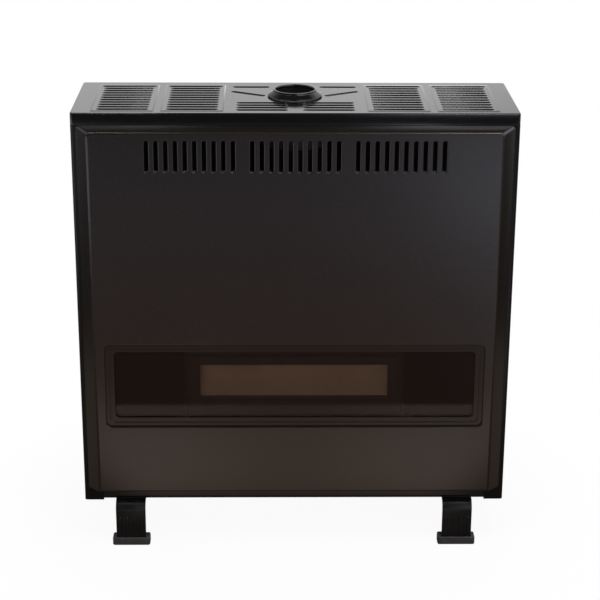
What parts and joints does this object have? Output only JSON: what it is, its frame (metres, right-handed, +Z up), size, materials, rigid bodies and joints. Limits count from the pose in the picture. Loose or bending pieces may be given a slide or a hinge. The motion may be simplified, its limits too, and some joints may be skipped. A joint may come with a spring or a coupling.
{
  "type": "flued gas heater",
  "caption": "Free-standing flued gas convection heater with slotted lid, pull-off pressed front panel, long smoked window, flue collar, formed legs and recessed side controls.",
  "frame": {"origin": "on the floor under the middle of the heater's bounding box", "axes": "+Z up through the flue collar, +X to the right seen from the front, the front window faces -Y"},
  "size_m": [0.78, 0.2616, 0.838],
  "materials": {
    "black_enamel": "gloss",
    "brown_enamel": "satin gloss",
    "galvanised": "matte spangled zinc",
    "smoked_glass": "smoked, polished",
    "heat_steel": "matte heat-proof",
    "ceramic": "porous fired ceramic",
    "seal_fibre": "felted mineral fibre",
    "mica": "translucent mica sheet",
    "brass": "machined",
    "copper": "drawn tube",
    "steel": "plated",
    "black_plastic": "moulded satin",
    "dark_rubber": "moulded matte"
  },
  "bodies": {
    "case": {"top_cover": "black_enamel", "side_panel_left": "black_enamel", "side_panel_right": "black_enamel", "base_pan": "black_enamel", "flue_collar": "black_enamel", "control_recess": "black_enamel", "back_panel": "galvanised", "top_crossbar": "galvanised", "chamber_leg_left": "galvanised", "chamber_leg_right": "galvanised", "rear_heat_shield": "galvanised", "draught_hood": "galvanised", "hood_bracket": "galvanised", "burner_bracket_left": "galvanised", "burner_bracket_right": "galvanised", "pilot_bracket": "galvanised", "combustion_chamber": "heat_steel", "chamber_window_frame": "heat_steel", "radiant_tray": "heat_steel", "burner_tube": "heat_steel", "radiant_tile_far_left": "ceramic", "radiant_tile_middle_left": "ceramic", "radiant_tile_middle_right": "ceramic", "radiant_tile_far_right": "ceramic", "ignition_electrode": "ceramic", "flue_seal": "seal_fibre", "ignition_lead": "seal_fibre", "chamber_window": "mica", "gas_valve": "brass", "gas_injector": "brass", "gas_inlet_union": "brass", "pilot_burner": "brass", "burner_supply_pipe": "copper", "pilot_pipe": "copper", "thermocouple": "copper", "panel_clip_lower_left": "steel", "panel_clip_lower_right": "steel", "panel_clip_upper_left": "steel", "panel_clip_upper_right": "steel", "gas_inlet_pipe": "steel", "igniter_body": "black_plastic", "leg_front_left": "black_plastic", "leg_front_right": "black_plastic", "leg_rear_left": "black_plastic", "leg_rear_right": "black_plastic", "foot_pad_front_left": "dark_rubber", "foot_pad_front_right": "dark_rubber", "foot_pad_rear_left": "dark_rubber", "foot_pad_rear_right": "dark_rubber"},
    "front_cover": {"front_panel": "brown_enamel", "window_frame": "black_enamel", "window_gasket": "seal_fibre", "window_glass": "smoked_glass", "glass_clip_upper_left": "steel", "glass_clip_upper_right": "steel", "glass_clip_lower_left": "steel", "glass_clip_lower_right": "steel"},
    "valve_spindle": {"valve_stem": "steel"},
    "knob": {"control_knob": "black_plastic"},
    "button": {"igniter_button": "black_plastic"}
  },
  "joints": [
    {"name": "front_cover_pull", "type": "slide", "parent": "case", "child": "front_cover", "axis": [0, -1, 0], "range_m": [0, 0.09]},
    {"name": "valve_turn", "type": "hinge", "parent": "case", "child": "valve_spindle", "pos_m": [0.3625, -0.01375, 0.165], "axis": [1, 0, 0], "range_deg": [0, 210]},
    {"name": "knob_push", "type": "slide", "parent": "valve_spindle", "child": "knob", "axis": [-1, 0, 0], "range_m": [0, 0.004], "stiffness_N_per_m": 2000},
    {"name": "igniter_push", "type": "slide", "parent": "case", "child": "button", "axis": [-1, 0, 0], "range_m": [0, 0.006], "stiffness_N_per_m": 2000}
  ]
}
